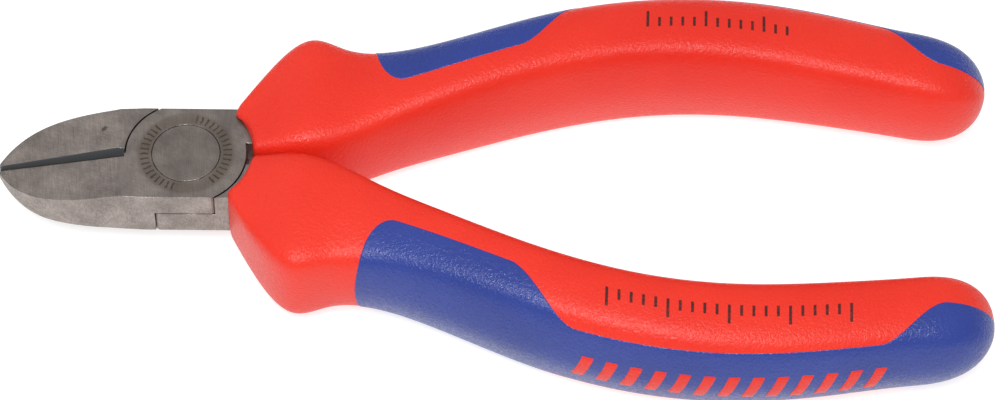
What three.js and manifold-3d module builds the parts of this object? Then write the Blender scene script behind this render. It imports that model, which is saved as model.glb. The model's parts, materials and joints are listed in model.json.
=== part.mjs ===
// Diagonal cutting pliers: two forged lap-jointed halves, one rivet and two two-component grips.
// Millimetres. While it is modelled, the pivot's axis is Z through the origin, z = 0 is the
// mid-plane of the joint, the handles run towards +X and the jaws towards -X.
import * as THREE from 'three';
import { mergeVertices } from 'three/addons/utils/BufferGeometryUtils.js';
import Module from 'manifold-3d';

const wasm = await Module();
wasm.setup();

// Driving dimensions
const jawReach = 23.85; // pivot to jaw tip
const handleReach = 102; // pivot to the ends of the grips
const headHalfThickness = 3.7; // ground flats of the joint
const headHalfWidth = 6.8; // parallel sides of the joint
const headLean = THREE.MathUtils.degToRad(2.7); // jaw line against the handles' middle line
const lapRadius = 7.6; // round shoulder of the lap joint
const rivetHeadRadius = 4.2;
const rivetShankRadius = 2.5;
const collarReach = 8.4; // pivot to the grips' front edge, on the middle line
const collarFront = 5.8; // the same at the sides of the head
const insertStart = 22.4; // where the soft insert begins
const insertDepth = 1.7; // thickness of the soft insert
const neckEnd = 13; // where the full-thickness neck ends inside the collar
const tangEnd = 86; // where the steel ends inside the grip
const tangHalfThickness = 2.6;
const neckInset = 1.6; // the neck's inner side from the middle plane

// Clearances
const jawGap = 0.06; // each cutting edge to the closing plane
const lapGap = 0.2; // between sliding faces of the lap
const rivetGap = 0.15; // round the rivet
const pocketGap = 0.3; // round the steel and the soft insert in the hard grip
const gripGap = 0.2; // each collar's inner face to the middle plane

// The grip's sections for the +Y handle. Each station gives x, then the section's centre y,
// half width, half height and how much of the full lean its faces have.
const gripStations = [
  [5, 2.9, 2.7, 4.7, 0.3],
  [9, 6.25, 6.05, 5.4, 0.35],
  [14.6, 9, 8.8, 7, 0.45],
  [19, 9.1, 8.05, 6.9, 0.65],
  [24.5, 10.4, 6.85, 6.9, 0.85],
  [33, 13.6, 6.35, 7.6, 1],
  [45, 18.25, 6.3, 8.1, 1],
  [58, 21.4, 6.25, 8, 1],
  [70, 22, 6.25, 7.6, 1],
  [82, 20.7, 6.15, 7, 1],
  [94, 18.75, 6, 6.5, 1],
  [102, 17.8, 6.6, 6.2, 1],
];
const cornerPower = 9; // how tight the corners between a section's faces are
const outerSideLean = THREE.MathUtils.degToRad(18);
const innerSideLean = THREE.MathUtils.degToRad(13);
const outerTopLean = THREE.MathUtils.degToRad(16);
const innerTopLean = THREE.MathUtils.degToRad(10);
const roundedEnd = 10; // length of the grip's rounded end
const endPower = 2.4; // how late the rounded end turns in

// Solids and booleans

function toSolid(geometry) {
  const bare = geometry.index ? geometry.toNonIndexed() : geometry.clone();
  bare.deleteAttribute('normal');
  bare.deleteAttribute('uv');
  const merged = mergeVertices(bare, 1e-4);
  const mesh = new wasm.Mesh({
    numProp: 3,
    vertProperties: new Float32Array(merged.attributes.position.array),
    triVerts: new Uint32Array(merged.index.array),
  });
  return new wasm.Manifold(mesh);
}

function toGeometry(solid) {
  const mesh = solid.getMesh();
  const geometry = new THREE.BufferGeometry();
  geometry.setAttribute('position', new THREE.BufferAttribute(mesh.vertProperties, 3));
  geometry.setIndex(new THREE.BufferAttribute(mesh.triVerts, 1));
  return geometry;
}

function block(low, high) {
  const size = high.map((value, i) => value - low[i]);
  const middle = high.map((value, i) => (value + low[i]) / 2);
  return toSolid(new THREE.BoxGeometry(...size).translate(...middle));
}

function disc(radius, lowZ, highZ) {
  const geometry = new THREE.CylinderGeometry(radius, radius, highZ - lowZ, 72);
  return toSolid(geometry.rotateX(Math.PI / 2).translate(0, 0, (lowZ + highZ) / 2));
}

// A plane outline pushed from lowZ to highZ.
function plate(shape, lowZ, highZ, curveSegments = 16) {
  const options = { depth: highZ - lowZ, bevelEnabled: false, curveSegments };
  return toSolid(new THREE.ExtrudeGeometry(shape, options).translate(0, 0, lowZ));
}

// A closed skin through rings of equally many points, with a fan over each end.
function loft(rings) {
  const count = rings[0].length;
  const positions = [];
  const addTriangle = (a, b, c) => positions.push(...a, ...b, ...c);
  for (let r = 0; r + 1 < rings.length; r++) {
    for (let i = 0; i < count; i++) {
      const j = (i + 1) % count;
      addTriangle(rings[r][i], rings[r + 1][j], rings[r + 1][i]);
      addTriangle(rings[r][i], rings[r][j], rings[r + 1][j]);
    }
  }
  const last = rings[rings.length - 1];
  for (let i = 1; i + 1 < count; i++) {
    addTriangle(rings[0][0], rings[0][i + 1], rings[0][i]);
    addTriangle(last[0], last[i], last[i + 1]);
  }
  const geometry = new THREE.BufferGeometry();
  geometry.setAttribute('position', new THREE.Float32BufferAttribute(positions, 3));
  return toSolid(geometry);
}

// Head: plan outline, side profile and ground bevels

// The head in plan: a blunt tip, one long curve along each jaw, and parallel sides.
function headPlan() {
  const tipHalfWidth = 0.7;
  const jawEnd = -9.5;
  const jawEndHalfWidth = headHalfWidth - 0.2;
  const sidesStart = -5.5;
  const shape = new THREE.Shape();
  shape.moveTo(-jawReach, -tipHalfWidth);
  shape.lineTo(-jawReach, tipHalfWidth);
  shape.bezierCurveTo(-20.9, 5.4, -16.5, 6.5, jawEnd, jawEndHalfWidth);
  shape.lineTo(sidesStart, headHalfWidth);
  shape.lineTo(neckEnd, headHalfWidth);
  shape.lineTo(neckEnd, -headHalfWidth);
  shape.lineTo(sidesStart, -headHalfWidth);
  shape.lineTo(jawEnd, -jawEndHalfWidth);
  shape.bezierCurveTo(-16.5, -6.5, -20.9, -5.4, -jawReach, -tipHalfWidth);
  return shape;
}

const slopeStart = -8.6; // where the jaws' upper faces begin to fall
const slope = Math.tan(THREE.MathUtils.degToRad(15));

// The head from the side: x to the right, z up.
function headSide() {
  const tipTop = headHalfThickness - (jawReach + slopeStart) * slope;
  const tipThickness = 0.95;
  const neckSideEnd = neckEnd + 1;
  const shape = new THREE.Shape();
  shape.moveTo(neckSideEnd, headHalfThickness);
  shape.lineTo(slopeStart, headHalfThickness);
  shape.lineTo(-jawReach, tipTop);
  shape.lineTo(-jawReach, tipTop - tipThickness);
  shape.quadraticCurveTo(-20.8, -3.2, -17, -3.35);
  shape.lineTo(slopeStart, -headHalfThickness);
  shape.lineTo(neckSideEnd, -headHalfThickness);
  return shape;
}

// A V-shaped wedge along the closing plane. Its edge runs from the tip to the joint, and it
// opens upwards (direction 1) or downwards (direction -1).
function bevelWedge(tipZ, jointZ, halfAngle, direction) {
  const height = 12;
  const reach = height * Math.tan(halfAngle);
  const ends = [[-jawReach - 2, tipZ], [-lapRadius + 2, jointZ]];
  const rings = ends.map(([x, z]) => {
    const ring = [[x, 0, z], [x, reach, z + direction * height], [x, -reach, z + direction * height]];
    return direction > 0 ? ring.reverse() : ring;
  });
  return loft(rings.map((ring) => ring.reverse()));
}

function headBlank() {
  const plan = plate(headPlan(), -5, 5, 24);
  const side = toSolid(
    new THREE.ExtrudeGeometry(headSide(), { depth: 20, bevelEnabled: false, curveSegments: 16 })
      .rotateX(Math.PI / 2)
      .translate(0, 10, 0),
  );
  const keepLap = disc(lapRadius + lapGap, -6, 6);
  const upperBevel = bevelWedge(-1.47, 3.25, THREE.MathUtils.degToRad(33), 1);
  const lowerBevel = bevelWedge(-1.63, 2.75, THREE.MathUtils.degToRad(35), -1);
  return plan
    .intersect(side)
    .subtract(upperBevel.subtract(keepLap))
    .subtract(lowerBevel.subtract(keepLap));
}

// The rivet's outline, grown by a clearance for the holes that take it.
function rivetProfile(grow, overshoot) {
  const end = headHalfThickness + overshoot;
  const headDepth = 1;
  const coneDepth = 0.9;
  const z1 = headHalfThickness - headDepth - grow;
  const z2 = z1 - coneDepth;
  const points = [
    [0, -end],
    [rivetHeadRadius + grow, -end],
    [rivetHeadRadius + grow, -z1],
    [rivetShankRadius + grow, -z2],
    [rivetShankRadius + grow, z2],
    [rivetHeadRadius + grow, z1],
    [rivetHeadRadius + grow, end],
    [0, end],
  ];
  const profile = points.map(([radius, z]) => new THREE.Vector2(radius, z));
  return toSolid(new THREE.LatheGeometry(profile, 64).rotateX(Math.PI / 2));
}

// Tang: a flat bar along the middle of the grip

const gripTable = new THREE.CubicInterpolant(
  gripStations.map((station) => station[0]),
  gripStations.flatMap((station) => station.slice(1)),
  4,
);

function gripSection(x) {
  const [centre, halfWidth, halfHeight, leanShare] = gripTable.evaluate(x);
  return { centre, halfWidth, halfHeight, leanShare };
}

// The tang's outline. Near the head it swerves towards the neck and is a little wider.
function tangPlan(grow) {
  const start = 10.5;
  const rows = 14;
  const swerve = 3.2;
  const swerveLength = 12;
  const halfWidth = 2.3;
  const extraHalfWidth = 0.5;
  const tipBulge = 2.5;
  const inner = [];
  const outer = [];
  for (let i = 0; i <= rows; i++) {
    const x = start + (tangEnd - start) * (i / rows);
    const { centre } = gripSection(x);
    const nearHead = Math.max(0, 1 - (x - start) / swerveLength);
    const middle = centre - swerve * nearHead;
    const half = halfWidth + extraHalfWidth * nearHead + grow;
    inner.push(new THREE.Vector2(x, middle - half));
    outer.push(new THREE.Vector2(x, middle + half));
  }
  const shape = new THREE.Shape();
  shape.moveTo(inner[0].x, inner[0].y);
  shape.splineThru(inner.slice(1));
  const tipX = tangEnd + tipBulge + grow;
  const tipY = (inner[rows].y + outer[rows].y) / 2;
  shape.quadraticCurveTo(tipX, tipY, outer[rows].x, outer[rows].y);
  shape.splineThru(outer.slice(0, rows).reverse());
  return shape;
}

function tang(grow) {
  const half = tangHalfThickness + grow;
  return plate(tangPlan(grow), -half, half, 3);
}

// The full-thickness neck between the lap and the tang, in the head's own direction.
function neck(grow) {
  const low = [4, neckInset - grow, -headHalfThickness - grow];
  const high = [neckEnd + grow, headHalfWidth + grow, headHalfThickness + grow];
  return block(low, high);
}

function lean(solid) {
  return solid.rotate([0, 0, THREE.MathUtils.radToDeg(headLean)]);
}

// Turns a solid of the +Y handle into the one of the -Y handle: half a turn about X.
function turnOver(solid) {
  return solid.rotate([180, 0, 0]);
}

function keepUp(solid) {
  return solid;
}

// One forged half. The upper one has the jaw on -Y, the lap disc on top, and its neck and
// tang on +Y. The lower one is the same, turned over, but the jaws' bevels stay as they are.
function forgedHalf(place) {
  const blank = headBlank();
  const jawSide = block([-30, -10, -6], [0, -jawGap, 6]);
  const neckSide = block([0, neckInset, -6], [neckEnd, 10, 6]);
  const otherDisc = disc(lapRadius + lapGap, -6, lapGap / 2);
  const ownDisc = disc(lapRadius, lapGap / 2, 6);
  const head = blank
    .intersect(place(jawSide.add(neckSide)))
    .subtract(place(otherDisc))
    .add(blank.intersect(place(ownDisc)))
    .subtract(rivetProfile(rivetGap, 1));
  return lean(head).add(place(tang(0)));
}

// Grips

// How far a section's skin is from its centre at an angle from the outer side. The section is
// an octagon of four leaning sides and four leaning tops, and a power sum rounds its corners.
function gripReach(angle, halfWidth, halfHeight, leanShare) {
  const outerSide = outerSideLean * leanShare;
  const innerSide = innerSideLean * leanShare;
  const outerTop = outerTopLean * leanShare;
  const innerTop = innerTopLean * leanShare;
  const upperFaces = [
    [outerSide, halfWidth * Math.cos(outerSide)],
    [Math.PI / 2 - outerTop, halfHeight * Math.cos(outerTop)],
    [Math.PI / 2 + innerTop, halfHeight * Math.cos(innerTop)],
    [Math.PI - innerSide, halfWidth * Math.cos(innerSide)],
  ];
  let sum = 0;
  for (const [direction, distance] of upperFaces) {
    for (const sign of [1, -1]) {
      sum += Math.max(0, Math.cos(angle - sign * direction) / distance) ** cornerPower;
    }
  }
  return (2 / sum) ** (1 / cornerPower);
}

// A ring of the grip's skin at x, pulled in by inset. Point 0 faces outwards from the tool.
function gripRing(x, inset, scale = 1, angles = fullTurn(32)) {
  const { centre, halfWidth, halfHeight, leanShare } = gripSection(x);
  const intoEnd = THREE.MathUtils.clamp((x - handleReach + roundedEnd) / (roundedEnd - inset), 0, 1);
  const taper = Math.sqrt(Math.max(0, 1 - intoEnd ** endPower)) * scale;
  return angles.map((angle) => {
    const reach = gripReach(angle, halfWidth - inset, halfHeight - inset, leanShare) * taper;
    return [x, centre + reach * Math.cos(angle), reach * Math.sin(angle)];
  });
}

function fullTurn(count) {
  return Array.from({ length: count }, (_, i) => (i / count) * 2 * Math.PI);
}

// Places along the grip, closer together at the collar and at the rounded end.
function gripPlaces(start, end) {
  const steps = 26;
  const places = [];
  for (let i = 0; i < steps; i++) {
    places.push(start + (end - start) * Math.sin((i / steps) * (Math.PI / 2)) ** 1.1);
  }
  return [...places, end - 0.02];
}

function gripSkin(inset = 0) {
  return loft(gripPlaces(5, handleReach - inset).map((x) => gripRing(x, inset)));
}

// Half the angle that the soft insert takes round the grip at x: a wide lobe in front, a
// narrow strip along the middle and a wide lobe at the rear that wraps the end.
function insertHalfAngle(x) {
  const wide = 95;
  const narrow = 51.5;
  const noseLength = 5;
  const { smoothstep } = THREE.MathUtils;
  const front = 1 - smoothstep(x, 41.5, 50);
  const rear = smoothstep(x, 87, 95.5);
  const nose = Math.sqrt(1 - (1 - Math.min(1, (x - insertStart) / noseLength)) ** 2);
  return THREE.MathUtils.degToRad((narrow + (wide - narrow) * Math.max(front, rear)) * nose);
}

// A fan of wedges from the grip's middle out past its skin, over the insert's angle. A grown
// fan reaches further round and further forward, for the pocket that takes the insert.
function insertFan(grow) {
  const rays = 8;
  const steps = 40;
  const closeUp = 1.4; // crowds the rings at the insert's nose
  const lastFull = handleReach - roundedEnd;
  const start = insertStart + 0.05;
  const rings = [];
  for (let i = 0; i <= steps; i++) {
    const x = start - grow + (handleReach + 1 - start + grow) * (i / steps) ** closeUp;
    const nearby = [x - grow, x, x + grow].map((place) => insertHalfAngle(Math.max(place, start)));
    const half = Math.max(...nearby) + grow / 6;
    const angles = Array.from({ length: rays + 1 }, (_, k) => half * ((2 * k) / rays - 1));
    const { centre } = gripSection(Math.min(x, handleReach));
    const shift = centre - gripSection(Math.min(x, lastFull)).centre;
    const rim = gripRing(Math.min(x, lastFull), 0, 1.6, angles);
    rings.push([[x, centre, 0], ...rim.map(([, y, z]) => [x, y + shift, z])]);
  }
  return loft(rings);
}

function gripInsert(place) {
  return place(gripSkin().subtract(gripSkin(insertDepth)).intersect(insertFan(0)));
}

function gripBody(place) {
  const frontCut = disc(collarReach, -12, 12).add(block([-5, -30, -12], [collarFront, 30, 12]));
  const otherSide = block([0, -40, -12], [40, gripGap, 12]);
  const insertPocket = gripSkin(-1)
    .subtract(gripSkin(insertDepth + pocketGap))
    .intersect(insertFan(pocketGap));
  const body = gripSkin()
    .subtract(frontCut)
    .subtract(otherSide)
    .subtract(tang(pocketGap))
    .subtract(insertPocket);
  return place(body).subtract(lean(place(neck(pocketGap))));
}

// Assembly

const steel = { color: 0x817773, roughness: 0.42, metalness: 1 };
const rivetSteel = { color: 0x726763, roughness: 0.36, metalness: 1 };
const hardGrip = { color: 0xee443a, roughness: 0.45, metalness: 0 };
const softGrip = { color: 0x4356a0, roughness: 0.7, metalness: 0 };

function part(name, solid, look) {
  const mesh = new THREE.Mesh(toGeometry(solid), new THREE.MeshStandardMaterial(look));
  mesh.name = name;
  return mesh;
}

const pliers = new THREE.Group();
pliers.add(part('lower_half', forgedHalf(turnOver), steel));
pliers.add(part('upper_half', forgedHalf(keepUp), steel));
pliers.add(part('joint_rivet', rivetProfile(0, 0), rivetSteel));
pliers.add(part('lower_grip_body', gripBody(turnOver), hardGrip));
pliers.add(part('upper_grip_body', gripBody(keepUp), hardGrip));
pliers.add(part('lower_grip_insert', gripInsert(turnOver), softGrip));
pliers.add(part('upper_grip_insert', gripInsert(keepUp), softGrip));

// The origin is moved to the middle of the tool's footprint, at the height it rests on.
const restHeight = gripSkin().boundingBox().max[2];
pliers.position.set((jawReach - handleReach) / 2, 0, restHeight);

export default pliers;
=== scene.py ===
import json
import math

import bmesh
import bpy
import numpy as np
from mathutils import Matrix, Vector


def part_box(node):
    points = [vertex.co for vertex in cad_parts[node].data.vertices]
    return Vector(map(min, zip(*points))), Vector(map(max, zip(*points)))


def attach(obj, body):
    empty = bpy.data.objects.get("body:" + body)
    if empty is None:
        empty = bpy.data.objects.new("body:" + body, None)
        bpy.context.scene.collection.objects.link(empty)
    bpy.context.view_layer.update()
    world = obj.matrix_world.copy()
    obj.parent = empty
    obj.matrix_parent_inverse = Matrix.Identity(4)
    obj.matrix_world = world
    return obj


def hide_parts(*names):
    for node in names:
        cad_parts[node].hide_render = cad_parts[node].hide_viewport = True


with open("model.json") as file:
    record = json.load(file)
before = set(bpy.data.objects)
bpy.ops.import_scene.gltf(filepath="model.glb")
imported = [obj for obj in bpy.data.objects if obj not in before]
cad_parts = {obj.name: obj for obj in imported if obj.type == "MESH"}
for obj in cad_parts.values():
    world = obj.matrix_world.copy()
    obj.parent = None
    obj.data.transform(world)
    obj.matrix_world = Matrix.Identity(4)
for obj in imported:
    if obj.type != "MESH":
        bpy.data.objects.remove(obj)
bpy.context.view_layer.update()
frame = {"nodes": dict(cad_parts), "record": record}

# Forged halves. Each jaw, its lap and its tang are one drop forging of chrome-vanadium tool
# steel, oil hardened. The flats and the jaws are ground, which leaves fine crossing scratches,
# and the ground edges are broken by a stone. A ring is laser etched round the joint.
MM = 0.001
hinge = frame["record"]["behaviour"]["joints"][0]
pivot = np.array(hinge["pos_m"])
flat_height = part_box("joint_rivet")[1][2]
rivet_half = flat_height - pivot[2]
head_lean = math.radians(2.7)


def linear(colour):
    """An sRGB hex colour as linear red, green, blue and alpha 1, by the sRGB curve."""
    parts = [int(colour[i:i + 2], 16) / 255 for i in (1, 3, 5)]
    return [c / 12.92 if c <= 0.04045 else ((c + 0.055) / 1.055) ** 2.4 for c in parts] + [1.0]


def add(tree, kind, settings=None, links=None):
    """Adds one node, sets its properties, and sets or links its inputs by name or number."""
    made = tree.nodes.new(kind)
    for name, value in (settings or {}).items():
        setattr(made, name, value)
    for name, value in (links or {}).items():
        if isinstance(value, bpy.types.NodeSocket):
            tree.links.new(value, made.inputs[name])
        else:
            made.inputs[name].default_value = value
    return made


def start_material(name):
    """A new material with its node tree, its shader node and its object coordinates."""
    material = bpy.data.materials.new(name)
    material.use_nodes = True
    tree = material.node_tree
    tree.nodes.clear()
    shader = add(tree, "ShaderNodeBsdfPrincipled")
    add(tree, "ShaderNodeOutputMaterial", links={"Surface": shader.outputs[0]})
    place = add(tree, "ShaderNodeTexCoord").outputs["Object"]
    return material, tree, shader, place


def blend_stops(tree, value, stops):
    """A colour ramp over value, from two (position, colour) stops."""
    ramp = add(tree, "ShaderNodeValToRGB", links={"Fac": value})
    for element, (position, colour) in zip(ramp.color_ramp.elements, stops):
        element.position = position
        element.color = colour
    return ramp.outputs["Color"]


def grey(level):
    """A grey of that level, for ramps that carry a number."""
    return (level, level, level, 1.0)


def smooth_mask(tree, value, low, high):
    """0 where value is at low, 1 where it is at high, and a smooth S between them."""
    return add(tree, "ShaderNodeMapRange", {"interpolation_type": "SMOOTHSTEP"}, {
        "Value": value, "From Min": low, "From Max": high}).outputs[0]


def product(tree, *values):
    """The product of several masks."""
    result = values[0]
    for value in values[1:]:
        result = add(tree, "ShaderNodeMath", {"operation": "MULTIPLY"}, {
            0: result, 1: value}).outputs[0]
    return result


def mix(tree, share, first, second, blend="MIX"):
    """Two colours mixed by a share of the second."""
    return add(tree, "ShaderNodeMix", {"data_type": "RGBA", "blend_type": blend}, {
        "Factor": share, 6: first, 7: second}).outputs[2]


def mix_number(tree, share, first, second):
    """Two numbers mixed by a share of the second."""
    return add(tree, "ShaderNodeMix", {"data_type": "FLOAT"}, {
        "Factor": share, 2: first, 3: second}).outputs[0]


def grinding_scratches(tree, centred):
    """A number from 0 to 1 in long crossing streaks. Real scratches are about 0.02 mm wide, and
    these are drawn 0.12 mm wide so that they show."""
    width = 0.12 * MM
    streaks = []
    for slant, length in ((6, 18), (61, 9)):
        stretched = add(tree, "ShaderNodeMapping", {"vector_type": "TEXTURE"}, {
            "Vector": centred, "Rotation": (0, 0, math.radians(slant)),
            "Scale": (1, length, 4)}).outputs[0]
        noise = add(tree, "ShaderNodeTexNoise", links={
            "Vector": stretched, "Scale": 1 / width, "Detail": 2.0,
            "Roughness": 0.7, "Distortion": 0.6})
        streaks.append(noise.outputs["Fac"])
    both = add(tree, "ShaderNodeMath", {"operation": "ADD"}, {0: streaks[0], 1: streaks[1]})
    return add(tree, "ShaderNodeMapRange", links={
        "Value": both.outputs[0], "From Min": 0.7, "From Max": 1.35}).outputs[0]


def stoned_edge(tree):
    """The normal of edges that a stone has rounded, and a mask of where it leans off the true
    normal."""
    edge_radius = 0.13 * MM
    rounded = add(tree, "ShaderNodeBevel", {"samples": 6}, {"Radius": edge_radius}).outputs[0]
    true_normal = add(tree, "ShaderNodeNewGeometry").outputs["True Normal"]
    likeness = add(tree, "ShaderNodeVectorMath", {"operation": "DOT_PRODUCT"}, {
        0: rounded, 1: true_normal}).outputs["Value"]
    return rounded, smooth_mask(tree, likeness, 0.995, 0.93)


# Ground tool steel: a dull brownish grey with fine crossing scratches. Its stoned edges carry a
# painted highlight where the cloud is light, and are painted darker where it is dark.
def ground_steel(name, colour, dark_colour, roughness, marked):
    material, tree, shader, place = start_material(name)
    centred = add(tree, "ShaderNodeMapping", {"vector_type": "TEXTURE"}, {
        "Vector": place, "Location": pivot.tolist(), "Rotation": (0, 0, head_lean)}).outputs[0]
    scratch = grinding_scratches(tree, centred)
    # Cloudy colour left by quenching oil, a few millimetres across.
    cloud = add(tree, "ShaderNodeTexNoise", links={
        "Vector": centred, "Scale": 1 / (3.5 * MM), "Detail": 4.0, "Roughness": 0.55}).outputs["Fac"]
    tone = blend_stops(tree, cloud, [(0.35, linear(dark_colour)), (0.68, linear(colour))])
    scratch_tone = blend_stops(tree, scratch, [(0.0, grey(0.3)), (1.0, grey(0.74))])
    finish = mix(tree, 0.5, tone, scratch_tone, "OVERLAY")
    rough = add(tree, "ShaderNodeMapRange", links={
        "Value": scratch, "To Min": roughness + 0.08, "To Max": roughness - 0.08}).outputs[0]
    rounded, edge = stoned_edge(tree)
    # Painted highlight along the rounded edges where the cloud is light, and a darker edge tone where it is
    # dark.
    edge_highlight_and_dark_tone = blend_stops(tree, cloud, [(0.46, linear("#4b4340")), (0.56, linear("#b3aba6"))])
    finish = mix(tree, product(tree, edge, 0.5), finish, edge_highlight_and_dark_tone)
    if marked:
        finish, rough = with_bevels_and_marks(tree, centred, finish, rough)
    bump = add(tree, "ShaderNodeBump", links={
        "Height": scratch, "Strength": 0.3, "Distance": 0.02 * MM, "Normal": rounded}).outputs[0]
    tree.links.new(finish, shader.inputs["Base Color"])
    tree.links.new(rough, shader.inputs["Roughness"])
    tree.links.new(bump, shader.inputs["Normal"])
    shader.inputs["Metallic"].default_value = 1.0
    return material


def with_bevels_and_marks(tree, centred, finish, rough):
    """The steel's colour and roughness with the honed bevels, the ring and the test mark on it."""
    bevel = cutting_bevel(tree, centred)
    finish = mix(tree, bevel, finish, linear("#7a7b7d"))
    rough = mix_number(tree, bevel, rough, 0.42)
    tint, lines = etched_ring(tree, centred)
    finish = mix(tree, product(tree, tint, 0.35), finish, linear("#5b4a38"))
    dot = test_mark(tree, centred)
    mark = add(tree, "ShaderNodeMath", {"operation": "MAXIMUM"}, {0: lines, 1: dot}).outputs[0]
    finish = mix(tree, product(tree, mark, 0.62), finish, linear("#33271c"))
    return finish, mix_number(tree, mark, rough, 0.7)


def cutting_bevel(tree, centred):
    """A mask of the honed bevels: in front of the joint, within 1.5 mm of the closing plane, and
    where the surface leans 33 degrees from upright towards it."""
    bevel_end, bevel_reach, blur = -7.5 * MM, 1.55 * MM, 0.05 * MM
    honed = math.cos(math.radians(33))
    parts = add(tree, "ShaderNodeSeparateXYZ", links={0: centred}).outputs
    jaw = smooth_mask(tree, parts[0], bevel_end + 2 * blur, bevel_end - 2 * blur)
    off_plane = add(tree, "ShaderNodeMath", {"operation": "ABSOLUTE"}, {0: parts[1]}).outputs[0]
    near = smooth_mask(tree, off_plane, bevel_reach + blur, bevel_reach - blur)
    normal = add(tree, "ShaderNodeNewGeometry").outputs["True Normal"]
    facing = add(tree, "ShaderNodeSeparateXYZ", links={0: normal}).outputs
    sideways = add(tree, "ShaderNodeMath", {"operation": "ABSOLUTE"}, {0: facing[1]}).outputs[0]
    upright = smooth_mask(tree, sideways, honed - 0.06, honed - 0.03)
    level = smooth_mask(tree, sideways, honed + 0.06, honed + 0.03)
    return product(tree, jaw, near, upright, level)


def etched_ring(tree, centred):
    """Masks of the heat tint and of the short radial ticks of the ring that is laser etched
    round the joint, on its upper flat only. Both come from the centred x and y."""
    tick_pitch = math.radians(8)
    inner, outer = 4.7 * MM, 5.8 * MM
    rim_inner, rim_outer = 4.2 * MM, 4.4 * MM
    parts = add(tree, "ShaderNodeSeparateXYZ", links={0: centred}).outputs
    angle = add(tree, "ShaderNodeMath", {"operation": "ARCTAN2"}, {
        0: parts[1], 1: parts[0]}).outputs[0]
    flat = add(tree, "ShaderNodeCombineXYZ", links={0: parts[0], 1: parts[1]}).outputs[0]
    radius = add(tree, "ShaderNodeVectorMath", {"operation": "LENGTH"}, {0: flat}).outputs["Value"]
    above = smooth_mask(tree, parts[2], rivet_half - 0.2 * MM, rivet_half - 0.1 * MM)
    # The beam wanders a little, so that no two ticks are quite the same.
    wander = add(tree, "ShaderNodeTexNoise", links={
        "Vector": centred, "Scale": 1 / (0.5 * MM)}).outputs["Fac"]
    turn = add(tree, "ShaderNodeMath", {"operation": "MULTIPLY_ADD"}, {
        0: wander, 1: 0.5, 2: product(tree, angle, 1 / tick_pitch)}).outputs[0]
    off_tick = add(tree, "ShaderNodeMath", {"operation": "PINGPONG"}, {0: turn, 1: 0.5}).outputs[0]
    tick = smooth_mask(tree, off_tick, 0.22, 0.1)
    band = product(tree, smooth_mask(tree, radius, inner - 0.05 * MM, inner + 0.1 * MM),
                   smooth_mask(tree, radius, outer + 0.1 * MM, outer - 0.05 * MM))
    # Two arcs with a plain gap between them at either end.
    wave = add(tree, "ShaderNodeMath", {"operation": "MULTIPLY_ADD"}, {
        0: angle, 1: 2.0, 2: -0.45}).outputs[0]
    arc_wave = add(tree, "ShaderNodeMath", {"operation": "COSINE"}, {0: wave}).outputs[0]
    ticks = product(tree, tick, band, smooth_mask(tree, arc_wave, -0.7, -0.6))
    # A thin broken line runs along the rivet's head, and the tint fades out on both sides.
    rim = product(tree, smooth_mask(tree, radius, rim_inner - 0.1 * MM, rim_inner),
                  smooth_mask(tree, radius, rim_outer + 0.15 * MM, rim_outer),
                  0.6, smooth_mask(tree, wander, 0.42, 0.6))
    lines = add(tree, "ShaderNodeMath", {"operation": "MAXIMUM"}, {0: ticks, 1: rim}).outputs[0]
    tint = product(tree, smooth_mask(tree, radius, 4.0 * MM, 4.8 * MM),
                   smooth_mask(tree, radius, 6.4 * MM, 5.8 * MM))
    return product(tree, tint, above), product(tree, lines, above)


def test_mark(tree, centred):
    """A mask of the small dark print that the hardness test leaves on one jaw: a ragged dot."""
    place, ragged_edge = (-10.6 * MM, 4.0 * MM, 0), 0.9 * MM
    apart = add(tree, "ShaderNodeVectorMath", {"operation": "SUBTRACT"}, {
        0: centred, 1: place}).outputs[0]
    flat = add(tree, "ShaderNodeVectorMath", {"operation": "MULTIPLY"}, {
        0: apart, 1: (1, 1, 0)}).outputs[0]
    away = add(tree, "ShaderNodeVectorMath", {"operation": "LENGTH"}, {0: flat}).outputs["Value"]
    ragged = add(tree, "ShaderNodeTexNoise", links={
        "Vector": centred, "Scale": 1 / (0.2 * MM)}).outputs["Fac"]
    edge = add(tree, "ShaderNodeMath", {"operation": "MULTIPLY_ADD"}, {
        0: ragged, 1: ragged_edge, 2: away}).outputs[0]
    height = add(tree, "ShaderNodeSeparateXYZ", links={0: centred}).outputs[2]
    return product(tree, smooth_mask(tree, edge, 0.95 * MM, 0.65 * MM),
                   smooth_mask(tree, height, 0.0, 1.0 * MM))


def whole_copy(node, name):
    """A copy of a CAD node's mesh with its doubles merged. Faces that meet at more than 10
    degrees meet in a sharp edge, and the others are one smooth surface."""
    mesh = bpy.data.meshes.new(name)
    loose = bmesh.new()
    loose.from_mesh(frame["nodes"][node].data)
    bmesh.ops.remove_doubles(loose, verts=loose.verts, dist=0.002 * MM)
    loose.to_mesh(mesh)
    loose.free()
    mesh.shade_smooth()
    mesh.set_sharp_from_angle(angle=math.radians(10))
    piece = bpy.data.objects.new(name, mesh)
    bpy.context.scene.collection.objects.link(piece)
    return piece


half_steel = ground_steel("ground_tool_steel", "#a39993", "#877e79", 0.42, marked=True)
for half, body in (("lower_half", "lower_side"), ("upper_half", "upper_side")):
    forging = whole_copy(half, half + "_forging")
    forging.data.materials.append(half_steel)
    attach(forging, body)
    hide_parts(half)

# Joint rivet. A steel rivet is driven through both laps, its two heads are pressed into
# countersinks, and they are ground off flush with the flats. It turns with the lower half.
rivet_steel = ground_steel("ground_rivet_steel", "#9b9189", "#837a75", 0.44, marked=False)


def grid_faces(rows, columns):
    """Quads of a grid of rows by columns points whose last column joins its first."""
    row = np.arange(rows - 1)[:, None] * columns
    column = np.arange(columns)[None, :]
    after = (column + 1) % columns
    corners = [row + column, row + after, row + columns + after, row + columns + column]
    return np.stack(corners, -1).reshape(-1, 4)


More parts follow.
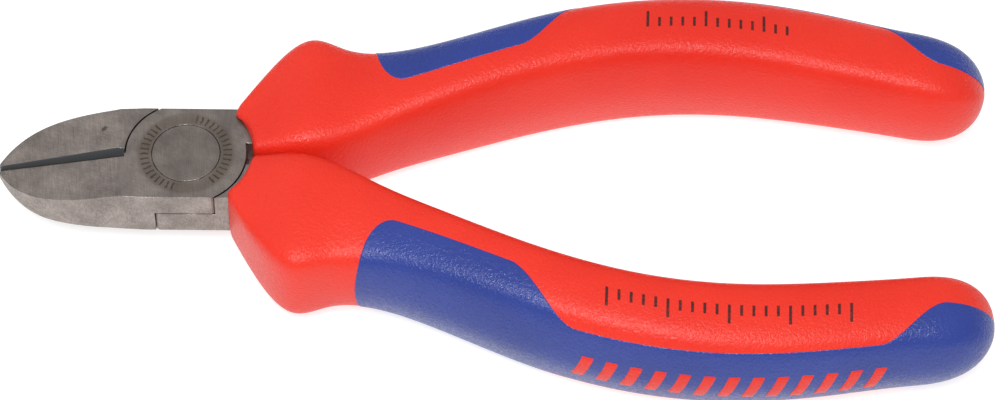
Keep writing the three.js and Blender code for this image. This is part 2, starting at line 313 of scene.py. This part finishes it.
def skin(name, points, material, turned=False):
    """A closed mesh over a grid of points (rows, columns, 3). The first and the last row are
    poles: all their points are in one place, and they are merged there."""
    rows, columns = points.shape[:2]
    faces = grid_faces(rows, columns)
    if turned:
        faces = faces[:, ::-1]
    mesh = bpy.data.meshes.new(name)
    mesh.from_pydata(points.reshape(-1, 3).tolist(), [], faces.tolist())
    whole = bmesh.new()
    whole.from_mesh(mesh)
    bmesh.ops.remove_doubles(whole, verts=whole.verts, dist=0.0005 * MM)
    whole.to_mesh(mesh)
    whole.free()
    mesh.shade_smooth()
    mesh.set_sharp_from_angle(angle=math.radians(40))
    mesh.materials.append(material)
    piece = bpy.data.objects.new(name, mesh)
    bpy.context.scene.collection.objects.link(piece)
    return piece


def revolved(profile, turns=96):
    """Points of a profile of (radius, height) pairs turned round the pivot's axis."""
    angle = np.linspace(0, 2 * np.pi, turns, endpoint=False)
    radius, height = np.array(profile).T[:, :, None]
    around = np.stack([radius * np.cos(angle), radius * np.sin(angle), height + 0 * angle], -1)
    return around + pivot


rivet_head, rivet_shank = 4.29 * MM, 2.5 * MM
rivet_chamfer = 0.03 * MM
upper_profile = [(0, rivet_half), (rivet_head * 0.5, rivet_half),
                 (rivet_head - rivet_chamfer, rivet_half), (rivet_head, rivet_half - rivet_chamfer),
                 (rivet_head, rivet_half - 1.0 * MM), (rivet_shank, rivet_half - 1.9 * MM)]
lower_profile = [(radius, -height) for radius, height in reversed(upper_profile)]
rivet = skin("joint_rivet_turned", revolved(upper_profile + lower_profile), rivet_steel, turned=True)
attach(rivet, "lower_side")
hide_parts("joint_rivet")

# Hard grip bodies. Each is injection moulded in a hard polypropylene round its tang, with a
# flared collar against slipping and a shallow pocket on the outer side for the soft insert.
# Each station gives x from the pivot, then the section's centre y, half width, half height and
# how much of the full lean its faces have, in millimetres.
grip_stations = np.array([
    [5, 2.9, 2.7, 4.7, 0.3],
    [9, 6.25, 6.05, 5.4, 0.35],
    [14.6, 9, 8.8, 7, 0.45],
    [19, 9.1, 8.05, 6.9, 0.65],
    [24.5, 10.4, 6.85, 6.9, 0.85],
    [33, 13.6, 6.35, 7.6, 1],
    [45, 18.25, 6.3, 8.1, 1],
    [58, 21.4, 6.25, 8, 1],
    [70, 22, 6.25, 7.6, 1],
    [82, 20.7, 6.15, 7, 1],
    [94, 18.75, 6, 6.5, 1],
    [102, 17.8, 6.6, 6.2, 1],
])
corner_power = 9
outer_side_lean, inner_side_lean = math.radians(18), math.radians(13)
outer_top_lean, inner_top_lean = math.radians(16), math.radians(10)
handle_reach = 102
rounded_end = 10
end_power = 2.4


def natural_spline(knots, values, x):
    """A cubic curve through the knots whose bend is continuous and fades to none at both ends."""
    step = np.diff(knots)
    rise = np.diff(values, axis=0) / step[:, None]
    inner = len(knots) - 2
    matrix = np.zeros((inner + 2, inner + 2))
    matrix[0, 0] = matrix[-1, -1] = 1
    index = np.arange(1, inner + 1)
    matrix[index, index - 1] = step[:-1]
    matrix[index, index] = 2 * (step[:-1] + step[1:])
    matrix[index, index + 1] = step[1:]
    right = np.zeros_like(values)
    right[1:-1] = 6 * np.diff(rise, axis=0)
    bend = np.linalg.solve(matrix, right)
    i = np.clip(np.searchsorted(knots, x) - 1, 0, len(knots) - 2)
    before, after, gap = x - knots[i], knots[i + 1] - x, step[i]
    before, after, gap = before[..., None], after[..., None], gap[..., None]
    curved = (bend[i] * after ** 3 + bend[i + 1] * before ** 3) / (6 * gap)
    low = (values[i] / gap - bend[i] * gap / 6) * after
    high = (values[i + 1] / gap - bend[i + 1] * gap / 6) * before
    return curved + low + high


def grip_section(x):
    """The centre y, half width, half height and share of lean of the grip's section at x."""
    within = np.clip(x, grip_stations[0, 0], handle_reach)
    return np.moveaxis(natural_spline(grip_stations[:, 0], grip_stations[:, 1:], within), -1, 0)


def grip_point(x, angle, inset):
    """Points of the +Y grip's skin, in mm from the pivot, at x and at an angle from the outer
    side, sunk by inset. Each section is an octagon of four leaning sides and four leaning tops
    whose corners a power sum rounds, and towards the end of the grip it shrinks to a point."""
    centre, half_width, half_height, share = grip_section(x)
    faces = ((0, outer_side_lean, half_width), (math.pi / 2, -outer_top_lean, half_height),
             (math.pi / 2, inner_top_lean, half_height), (math.pi, -inner_side_lean, half_width))
    total = 0
    for direction, lean, half in faces:
        for sign in (1, -1):
            away = np.cos(angle - sign * (direction + lean * share))
            total = total + np.clip(away / ((half - inset) * np.cos(lean * share)), 0, None) ** corner_power
    into_end = np.clip((x - handle_reach + rounded_end) / rounded_end, 0, 1)
    taper = np.sqrt(np.clip(1 - into_end ** end_power, 0, 1))
    reach = (2 / total) ** (1 / corner_power) * taper
    return np.stack(np.broadcast_arrays(
        x - inset * into_end, centre + reach * np.cos(angle), reach * np.sin(angle)), -1)


def smooth_step(low, high, x):
    """0 below low, 1 above high, and a smooth S between them."""
    t = np.clip((x - low) / (high - low), 0, 1)
    return t * t * (3 - 2 * t)


insert_start = 22.4
insert_depth = 1.7


def insert_half_angle(x):
    """Half the angle that the soft insert takes at x: a wide front lobe with a round nose, a
    strip along the middle that widens a little, and a wide rear lobe that wraps the end."""
    strip, wide, nose_length = 51.5, 95, 5
    lobe = np.maximum(1 - smooth_step(41.5, 50, x), smooth_step(87, 95.5, x))
    nose = np.sqrt(1 - (1 - np.clip((x - insert_start) / nose_length, 0, 1)) ** 2)
    return np.radians(strip + (wide - strip) * lobe) * nose


def inside_insert(x, angle):
    """Roughly how far a point of the skin is inside the insert's outline, in mm: the margin
    left in angle, over the length of its slope along and round the grip."""
    step = 0.02
    margin = insert_half_angle(x) - np.abs(angle)
    along = (insert_half_angle(x + step) - insert_half_angle(x - step)) / (2 * step)
    round_slope = 1 / 6.8
    return margin / np.sqrt(along ** 2 + round_slope ** 2)


def to_frame(points, side):
    """Points in mm from the pivot, for the +Y handle, as metres in the frame on either side."""
    return points * np.array([1, side, 1]) * MM + pivot


collar_reach = 8.4
collar_front = 5.8


def collar_face(y):
    """How far the collar's front face is from the pivot along x: a circle round the pivot that
    clears the lap, and a flat beside the head."""
    circle = np.sqrt(np.clip(collar_reach ** 2 - y ** 2, 0, None))
    return np.logaddexp(circle * 6, collar_front * 6) / 6


def grip_rows(start):
    """The x of each ring of the skin: even along the grip, closer on its rounded end."""
    even = np.linspace(start, handle_reach - rounded_end, 230)
    turn = np.linspace(0, math.pi / 2, 46)[1:]
    return np.concatenate([even, handle_reach - rounded_end + rounded_end * np.sin(turn) ** 0.9])


def rectangle(angle, half_width, half_height):
    """Where rays from the middle of a rectangle meet its sides, at each angle."""
    reach = np.minimum(half_width / np.maximum(np.abs(np.cos(angle)), 1e-6),
                       half_height / np.maximum(np.abs(np.sin(angle)), 1e-6))
    return reach * np.cos(angle), reach * np.sin(angle)


def mouth_ring(x, angle, side):
    """A ring of the mouth round the neck at x. The neck leans with the head."""
    y, z = rectangle(angle, 2.2, 4.0)
    return np.stack([x + 0 * y, 3.6 + y + side * math.tan(head_lean) * x, z], -1)


def tang_slot(angle):
    """Rings of the flat slot that follows the tang from the neck's seat to its closed end."""
    slot_x = np.linspace(13.3, 87, 16)[:, None]
    y, z = rectangle(angle, 2.6, 2.9)
    near_head = np.clip(1 - (slot_x - 10.5) / 12, 0, 1)
    middle = grip_point(slot_x, math.pi / 2, 0)[..., 1] - 3.2 * near_head
    slot = np.stack(np.broadcast_arrays(slot_x, middle + y * (1 + 0.2 * near_head), z), -1)
    end = np.broadcast_to([slot_x[-1, 0] + 2, middle[-1, 0], 0], (1, len(angle), 3))
    return end, slot


def hard_body_points(side):
    """Rings from the closed end of the tang's pocket out to the mouth, over the collar's face
    and along the outer skin to the grip's end. All rings have the same angles."""
    columns, edge_radius, straighten = 208, 0.6, 8
    angle = np.linspace(-math.pi, math.pi, columns, endpoint=False)
    # Outer skin: the first rings follow the curved front face, and they straighten by x = 14.
    rows = grip_rows(collar_front + edge_radius)
    front = np.full(columns, collar_front)
    # The front's x follows from y, and y from x, so that a few rounds settle both.
    for _ in range(8):
        front = collar_face(grip_point(front, angle, 0)[:, 1])
    fade = np.clip(1 - (rows - collar_front - edge_radius) / straighten, 0, 1)
    x = rows[:, None] + fade[:, None] * (front - collar_front)[None, :]
    # The pocket for the insert starts half a millimetre inside the insert's lip.
    inside = inside_insert(x, np.broadcast_to(angle, x.shape))
    outer = grip_point(x, angle, insert_depth * smooth_step(0.55, 0.95, inside))
    # Front edge: a fillet.
    turn = np.linspace(0, math.pi / 2, 8)[:-1, None]
    fillet = grip_point(front + edge_radius * (1 - np.cos(turn)), angle,
                        edge_radius * (1 - np.sin(turn)))
    mouth = mouth_ring(7.5, angle, side)
    mouth[:, 0] = collar_face(mouth[:, 1])
    share = np.linspace(0, 1, 6)[1:-1, None, None]
    face = mouth + (fillet[0] - mouth) * share
    face[..., 0] = collar_face(face[..., 1])
    end, slot = tang_slot(angle)
    seat = mouth_ring(13.3, angle, side)
    rings = [end, slot[::-1], seat[None], mouth[None], face, fillet, outer]
    return to_frame(np.concatenate(rings), side)


def printed_scale(tree, reach):
    """A mask of a plain pad-printed scale along the top of a grip: short dark strokes across it
    at an even pitch between the two ends of reach in mm, and every fifth one longer."""
    pitch, stroke, foot, short_head, long_head = 1.5 * MM, 0.36 * MM, -1.1 * MM, 0.4 * MM, 1.5 * MM
    blur, end_gap = 0.05 * MM, 0.4 * MM
    first, last = reach[0] * MM, reach[1] * MM
    place = add(tree, "ShaderNodeAttribute", {"attribute_name": "place_on_grip"}).outputs["Vector"]
    along, across, up = add(tree, "ShaderNodeSeparateXYZ", links={0: place}).outputs
    from_first = add(tree, "ShaderNodeMath", {"operation": "SUBTRACT"}, {
        0: along, 1: first}).outputs[0]
    off_stroke = add(tree, "ShaderNodeMath", {"operation": "PINGPONG"}, {
        0: from_first, 1: pitch / 2}).outputs[0]
    off_fifth = add(tree, "ShaderNodeMath", {"operation": "PINGPONG"}, {
        0: from_first, 1: pitch * 2.5}).outputs[0]
    line = smooth_mask(tree, off_stroke, stroke / 2 + blur, stroke / 2 - blur)
    fifth = smooth_mask(tree, off_fifth, pitch / 2 + 0.01 * MM, pitch / 2 - 0.01 * MM)
    head = mix_number(tree, fifth, short_head, long_head)
    below_head = add(tree, "ShaderNodeMath", {"operation": "SUBTRACT"}, {
        0: head, 1: across}).outputs[0]
    # The ink is a little thin on the grain.
    grain = add(tree, "ShaderNodeTexNoise", links={
        "Vector": place, "Scale": 1 / (0.25 * MM)}).outputs["Fac"]
    return product(
        tree, line, smooth_mask(tree, below_head, -blur, blur),
        smooth_mask(tree, across, foot - blur, foot + blur),
        smooth_mask(tree, up, 2 * MM, 3 * MM),
        smooth_mask(tree, along, first - end_gap - 2 * blur, first - end_gap + 2 * blur),
        smooth_mask(tree, along, last + end_gap + 2 * blur, last + end_gap - 2 * blur),
        mix_number(tree, smooth_mask(tree, grain, 0.3, 0.45), 0.75, 1.0))


# Moulded hard polypropylene: an even strong red with a satin gloss and a fine mould grain. Where
# the printed scale is wanted, printed is its two ends along the grip in mm.
def moulded_plastic(name, colour, deep_colour, roughness, printed=None):
    material, tree, shader, place = start_material(name)
    centred = add(tree, "ShaderNodeMapping", {"vector_type": "TEXTURE"}, {
        "Vector": place, "Location": pivot.tolist()}).outputs[0]
    cloud = add(tree, "ShaderNodeTexNoise", links={
        "Vector": centred, "Scale": 1 / (14 * MM), "Detail": 3.0}).outputs["Fac"]
    tone = blend_stops(tree, cloud, [(0.3, linear(deep_colour)), (0.7, linear(colour))])
    # Mould grain: real pits are about 0.05 mm, drawn 0.4 mm wide so that they show.
    grain = add(tree, "ShaderNodeTexNoise", links={
        "Vector": centred, "Scale": 1 / (0.4 * MM), "Detail": 2.0, "Roughness": 0.7}).outputs["Fac"]
    rough = add(tree, "ShaderNodeMapRange", links={
        "Value": grain, "From Min": 0.3, "From Max": 0.7,
        "To Min": roughness - 0.06, "To Max": roughness + 0.1}).outputs[0]
    bump = add(tree, "ShaderNodeBump", links={
        "Height": grain, "Strength": 1.0, "Distance": 0.12 * MM}).outputs[0]
    if printed:
        ink = printed_scale(tree, printed)
        tone = mix(tree, ink, tone, linear("#4a1a18"))
        rough = mix_number(tree, ink, rough, 0.6)
    tree.links.new(tone, shader.inputs["Base Color"])
    tree.links.new(rough, shader.inputs["Roughness"])
    tree.links.new(bump, shader.inputs["Normal"])
    shader.inputs["IOR"].default_value = 1.45
    shader.inputs["Specular IOR Level"].default_value = 0.4
    shader.inputs["Subsurface Weight"].default_value = 0.06
    shader.inputs["Subsurface Radius"].default_value = (1.2 * MM, 0.4 * MM, 0.3 * MM)
    return material


def keep_place_on_grip(piece, side):
    """Stores at each point where it is on its grip, in metres: along it from the pivot, outwards
    from the middle of its section, and up. The printed scale follows it."""
    points = np.empty(3 * len(piece.data.vertices))
    piece.data.vertices.foreach_get("co", points)
    x, y, z = ((points.reshape(-1, 3) - pivot) / MM * (1, side, 1)).T
    place = np.stack([x, y - grip_section(x)[0], z], -1) * MM
    kept = piece.data.attributes.new("place_on_grip", "FLOAT_VECTOR", "POINT")
    kept.data.foreach_set("vector", place.ravel())


for side, name, printed in ((-1, "lower", (53.5, 83.5)), (1, "upper", (57.7, 75.7))):
    hard_plastic = moulded_plastic(
        name + "_moulded_red_polypropylene", "#ee3624", "#e62e1f", 0.36, printed)
    body = skin(name + "_grip_hard_body", hard_body_points(side), hard_plastic, turned=side < 0)
    keep_place_on_grip(body, side)
    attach(body, name + "_side")
    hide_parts(name + "_grip_body")

# Soft inserts. A thermoplastic elastomer is shot into the hard body's pocket in the same mould.
# It stands a hair proud of the hard plastic with a narrow rounded lip, and its surface has a
# coarser spark-eroded grain that glitters a little where light grazes it.
def soft_insert_points(side):
    """Rows from the nose to the end. Each row goes across the outer skin from edge to edge and
    back along the pocket's floor, so that the grid wraps a closed thin shell."""
    length = handle_reach - insert_start
    t = np.linspace(0, 1, 300)[:, None]
    x = insert_start + length * (0.35 * t ** 2.2 + 0.65 * np.sin(t * math.pi / 2) ** 1.35)
    across = np.sin(np.linspace(-math.pi / 2, math.pi / 2, 120))[None, :]
    angle = insert_half_angle(x) * across
    inside = inside_insert(x, angle)
    proud, lap = 0.06, 0.02
    top = grip_point(x, angle, lap - (proud + lap) * smooth_step(0, 0.22, inside))
    floor_inside, floor_angle = inside[:, ::-2], angle[:, ::-2]
    depth = lap + 0.02 + (insert_depth - 0.25) * smooth_step(0.6, 1.2, floor_inside)
    floor = grip_point(x, floor_angle, depth)
    return to_frame(np.concatenate([top, floor], 1), side)


# Soft elastomer: a deep blue with a dry, fine grain.
def soft_elastomer(name, colour, deep_colour):
    material, tree, shader, place = start_material(name)
    centred = add(tree, "ShaderNodeMapping", {"vector_type": "TEXTURE"}, {
        "Vector": place, "Location": pivot.tolist()}).outputs[0]
    # Spark-eroded grain: real pits are about 0.1 mm, drawn 0.45 mm wide so that they show.
    grain = add(tree, "ShaderNodeTexNoise", links={
        "Vector": centred, "Scale": 1 / (0.45 * MM), "Detail": 2.5, "Roughness": 0.75}).outputs["Fac"]
    cloud = add(tree, "ShaderNodeTexNoise", links={
        "Vector": centred, "Scale": 1 / (10 * MM), "Detail": 3.0}).outputs["Fac"]
    both = add(tree, "ShaderNodeMath", {"operation": "MULTIPLY_ADD"}, {
        0: grain, 1: 0.5, 2: cloud}).outputs[0]
    tone = blend_stops(tree, both, [(0.55, linear(deep_colour)), (0.95, linear(colour))])
    rough = add(tree, "ShaderNodeMapRange", links={
        "Value": grain, "From Min": 0.35, "From Max": 0.65, "To Min": 0.42, "To Max": 0.2}).outputs[0]
    bump = add(tree, "ShaderNodeBump", links={
        "Height": grain, "Strength": 1.0, "Distance": 0.13 * MM}).outputs[0]
    tree.links.new(tone, shader.inputs["Base Color"])
    tree.links.new(rough, shader.inputs["Roughness"])
    tree.links.new(bump, shader.inputs["Normal"])
    shader.inputs["IOR"].default_value = 1.5
    shader.inputs["Specular IOR Level"].default_value = 0.4
    return material


soft_blue = soft_elastomer("grained_blue_elastomer", "#2f4294", "#293b89")
for side, name in ((-1, "lower"), (1, "upper")):
    insert = skin(name + "_grip_soft_insert", soft_insert_points(side), soft_blue, turned=side < 0)
    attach(insert, name + "_side")
    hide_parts(name + "_grip_insert")

# Raised ribs. The hard polypropylene comes through the soft strip in a row of slanting ribs on each
# grip's outer side, moulded with the body and standing a little proud of the strip.
def rib_points(side, start):
    """One rib as a grid: a rounded bar that crosses the strip between two angles and slants
    along it. Its height over the skin is a power curve of the distance to its edge, and its
    first and last rows and its underside are sunk in the strip, so that it is closed."""
    half_turn, slant, width, height, sunk = math.radians(21), 1.3, 1.5, 0.16, 0.3
    along = np.linspace(-1, 1, 17)[:, None]
    across = np.linspace(-1, 1, 13)[None, :]
    crown = (1 - along ** 8) * (1 - across ** 6)
    x = start + slant * (along + 1) / 2 + width / 2 * across
    angle = half_turn * along
    top = grip_point(x, angle, -0.04 - height * crown ** 0.5)
    under = grip_point(x[:, ::-1], angle + 0 * across, sunk)
    rows = np.concatenate([top, under], 1)
    ends = [np.broadcast_to(rows[i].mean(0), (1,) + rows[i].shape) for i in (0, -1)]
    return to_frame(np.concatenate([ends[0], rows, ends[1]]), side)


rib_red = moulded_plastic("moulded_red_rib_polypropylene", "#ea3424", "#e22c1f", 0.36)
for side, name in ((-1, "lower"), (1, "upper")):
    for number, start in enumerate(np.linspace(50.4, 86.4, 13)):
        rib = skin(f"{name}_grip_rib_{number + 1}", rib_points(side, start), rib_red, turned=side < 0)
        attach(rib, name + "_side")

# Stage: a plain white sheet that glows a little, so that shadows on it are faint, in a soft room
# that is brighter overhead. A small softbox stands high in front, and a weak one behind on the left.
floor_mesh = bpy.data.meshes.new("floor")
reach = 1.5
floor_mesh.from_pydata([(-reach, -reach, 0), (reach, -reach, 0), (reach, reach, 0), (-reach, reach, 0)],
                       [], [(0, 1, 2, 3)])
floor = bpy.data.objects.new("floor", floor_mesh)
bpy.context.scene.collection.objects.link(floor)
paper, tree, shader, _ = start_material("white_paper")
shader.inputs["Base Color"].default_value = (0.42, 0.42, 0.42, 1)
shader.inputs["Roughness"].default_value = 0.9
shader.inputs["Emission Color"].default_value = (1, 1, 1, 1)
shader.inputs["Emission Strength"].default_value = 0.76
floor_mesh.materials.append(paper)

world = bpy.data.worlds.new("soft_room")
bpy.context.scene.world = world
world.use_nodes = True
sky = world.node_tree
overhead = add(sky, "ShaderNodeSeparateXYZ", links={0: add(sky, "ShaderNodeTexCoord").outputs["Generated"]})
light_level = smooth_mask(sky, overhead.outputs[2], 0.0, 0.75)
sky.links.new(mix(sky, light_level, (0.2, 0.2, 0.2, 1), (0.5, 0.5, 0.5, 1)),
              sky.nodes["Background"].inputs["Color"])


def softbox(name, place, size, power):
    """A square area light at place, aimed at the middle of the tool."""
    light = bpy.data.lights.new(name, "AREA")
    light.size = size
    light.energy = power
    lamp = bpy.data.objects.new(name, light)
    bpy.context.scene.collection.objects.link(lamp)
    lamp.location = place
    lamp.rotation_euler = (-Vector(place)).to_track_quat("-Z", "Y").to_euler()


softbox("softbox_above", (-0.05, -0.32, 0.75), 0.2, 4.6)
softbox("softbox_far_left", (-0.5, 0.5, 0.6), 0.5, 0.35)

# Camera: a long lens above the tool, 56 degrees over the surface that it lies on. The joint is
# left of the middle of the picture and a little above it.
azimuth, elevation, roll = (math.radians(angle) for angle in (0.33, 56.42, 2.62))
distance = 429 * MM
picture_pixels, pixels_per_mm = 1000, 7.92
picture_width = picture_pixels / pixels_per_mm * MM
joint_left, joint_up = 39.65 * MM, 5.95 * MM
back = Vector((math.sin(azimuth) * math.cos(elevation), -math.cos(azimuth) * math.cos(elevation),
               math.sin(elevation)))
level_right = Vector((math.cos(azimuth), math.sin(azimuth), 0))
level_up = back.cross(level_right)
right = math.cos(roll) * level_right + math.sin(roll) * level_up
up = back.cross(right)
joint_top = Vector((pivot[0], pivot[1], flat_height))
eye = joint_top + right * joint_left - up * joint_up + back * distance
lens = bpy.data.cameras.new("long_lens")
lens.sensor_width = 36
lens.lens = 36 * distance / picture_width
lens.clip_start = 0.01
camera = bpy.data.objects.new("camera", lens)
bpy.context.scene.collection.objects.link(camera)
camera.matrix_world = Matrix((
    (right.x, up.x, back.x, eye.x),
    (right.y, up.y, back.y, eye.y),
    (right.z, up.z, back.z, eye.z),
    (0, 0, 0, 1)))
bpy.context.scene.camera = camera
bpy.context.scene.view_settings.view_transform = "Standard"
